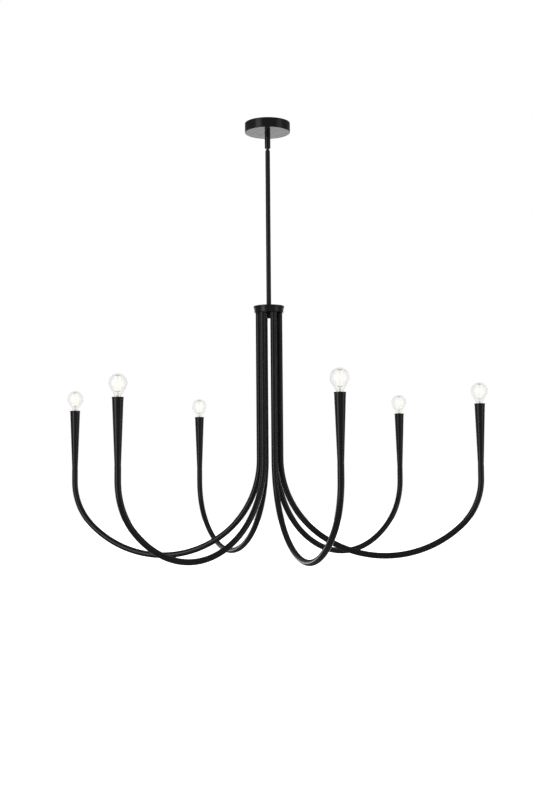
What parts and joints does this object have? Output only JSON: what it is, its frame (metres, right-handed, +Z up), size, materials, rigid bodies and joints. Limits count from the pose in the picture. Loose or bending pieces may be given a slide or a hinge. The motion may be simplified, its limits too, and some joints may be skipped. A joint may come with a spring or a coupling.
{
  "type": "multi arm chandelier",
  "caption": "Hanging candle chandelier: slender curved arms drop from a small hub on a rod and rise to tapered cups with round filament bulbs; flat canopy with ball swivel.",
  "frame": {"origin": "the middle of the mounting bracket, on the ceiling plane", "axes": "+Z up towards the ceiling box; -Y towards the front, +X to the right; the bracket's slots lie along X"},
  "size_m": [1.1429, 1.0935, 1.183],
  "materials": {
    "black_metal": "satin black powder coat",
    "zinc_steel": "zinc plated",
    "green_screw": "green passivated earth screw",
    "nylon": "natural nylon",
    "lead_insulation": "sleeved lead pair",
    "lampholder_black": "moulded phenolic",
    "clear_glass": "clear, thin",
    "bulb_cap_metal": "nickel plated",
    "light_strip": "lit filament strips"
  },
  "bodies": {
    "ceiling_mount": {"mounting_bracket": "zinc_steel", "ground_screw": "green_screw", "nipple_nuts": "zinc_steel", "canopy_nipple": "zinc_steel", "canopy": "black_metal", "swivel_housing": "black_metal", "supply_lead": "lead_insulation"},
    "ball_seat": {"ball_seat": "nylon"},
    "friction_ring": {"friction_ring": "nylon"},
    "hanging_frame": {"ball_stud": "black_metal", "stem_rod": "black_metal", "rod_lead": "lead_insulation", "hub_nipple": "zinc_steel", "hub_nuts": "zinc_steel", "hub_lid": "black_metal", "hub_drum": "black_metal", "arm_lock_nuts": "zinc_steel", "finial": "black_metal"},
    "arm_1": {"arm_tube_1": "black_metal", "arm_lead_1": "lead_insulation", "candle_cup_1": "black_metal", "lampholder_1": "lampholder_black"},
    "bulb_1": {"bulb_glass_1": "clear_glass", "bulb_cap_1": "bulb_cap_metal", "bulb_filaments_1": "light_strip"},
    "arm_2": {"arm_tube_2": "black_metal", "arm_lead_2": "lead_insulation", "candle_cup_2": "black_metal", "lampholder_2": "lampholder_black"},
    "bulb_2": {"bulb_glass_2": "clear_glass", "bulb_cap_2": "bulb_cap_metal", "bulb_filaments_2": "light_strip"},
    "arm_3": {"arm_tube_3": "black_metal", "arm_lead_3": "lead_insulation", "candle_cup_3": "black_metal", "lampholder_3": "lampholder_black"},
    "bulb_3": {"bulb_glass_3": "clear_glass", "bulb_cap_3": "bulb_cap_metal", "bulb_filaments_3": "light_strip"},
    "arm_4": {"arm_tube_4": "black_metal", "arm_lead_4": "lead_insulation", "candle_cup_4": "black_metal", "lampholder_4": "lampholder_black"},
    "bulb_4": {"bulb_glass_4": "clear_glass", "bulb_cap_4": "bulb_cap_metal", "bulb_filaments_4": "light_strip"},
    "arm_5": {"arm_tube_5": "black_metal", "arm_lead_5": "lead_insulation", "candle_cup_5": "black_metal", "lampholder_5": "lampholder_black"},
    "bulb_5": {"bulb_glass_5": "clear_glass", "bulb_cap_5": "bulb_cap_metal", "bulb_filaments_5": "light_strip"},
    "arm_6": {"arm_tube_6": "black_metal", "arm_lead_6": "lead_insulation", "candle_cup_6": "black_metal", "lampholder_6": "lampholder_black"},
    "bulb_6": {"bulb_glass_6": "clear_glass", "bulb_cap_6": "bulb_cap_metal", "bulb_filaments_6": "light_strip"}
  },
  "joints": [
    {"name": "swivel_turn", "type": "hinge", "parent": "ceiling_mount", "child": "ball_seat", "pos_m": [0, 0, -0.0673], "axis": [0, 0, 1], "range_deg": [-170, 170]},
    {"name": "swivel_tilt_x", "type": "hinge", "parent": "ball_seat", "child": "friction_ring", "pos_m": [0, 0, -0.0673], "axis": [1, 0, 0], "range_deg": [-17, 17]},
    {"name": "swivel_tilt_y", "type": "hinge", "parent": "friction_ring", "child": "hanging_frame", "pos_m": [0, 0, -0.0673], "axis": [0, 1, 0], "range_deg": [-17, 17]},
    {"name": "arm_1_swing", "type": "hinge", "parent": "hanging_frame", "child": "arm_1", "pos_m": [0.02805, -0.00295, -0.5216], "axis": [0, 0, 1], "range_deg": [-24, 24]},
    {"name": "arm_2_swing", "type": "hinge", "parent": "hanging_frame", "child": "arm_2", "pos_m": [0.01658, 0.02281, -0.5216], "axis": [0, 0, 1], "range_deg": [-24, 24]},
    {"name": "arm_3_swing", "type": "hinge", "parent": "hanging_frame", "child": "arm_3", "pos_m": [-0.01147, 0.02576, -0.5216], "axis": [0, 0, 1], "range_deg": [-24, 24]},
    {"name": "arm_4_swing", "type": "hinge", "parent": "hanging_frame", "child": "arm_4", "pos_m": [-0.02805, 0.00295, -0.5216], "axis": [0, 0, 1], "range_deg": [-24, 24]},
    {"name": "arm_5_swing", "type": "hinge", "parent": "hanging_frame", "child": "arm_5", "pos_m": [-0.01658, -0.02281, -0.5216], "axis": [0, 0, 1], "range_deg": [-24, 24]},
    {"name": "arm_6_swing", "type": "hinge", "parent": "hanging_frame", "child": "arm_6", "pos_m": [0.01147, -0.02576, -0.5216], "axis": [0, 0, 1], "range_deg": [-24, 24]},
    {"name": "bulb_1_out", "type": "slide", "parent": "arm_1", "child": "bulb_1", "axis": [0, 0, 1], "range_m": [0, 0.03]},
    {"name": "bulb_2_out", "type": "slide", "parent": "arm_2", "child": "bulb_2", "axis": [0, 0, 1], "range_m": [0, 0.03]},
    {"name": "bulb_3_out", "type": "slide", "parent": "arm_3", "child": "bulb_3", "axis": [0, 0, 1], "range_m": [0, 0.03]},
    {"name": "bulb_4_out", "type": "slide", "parent": "arm_4", "child": "bulb_4", "axis": [0, 0, 1], "range_m": [0, 0.03]},
    {"name": "bulb_5_out", "type": "slide", "parent": "arm_5", "child": "bulb_5", "axis": [0, 0, 1], "range_m": [0, 0.03]},
    {"name": "bulb_6_out", "type": "slide", "parent": "arm_6", "child": "bulb_6", "axis": [0, 0, 1], "range_m": [0, 0.03]}
  ]
}
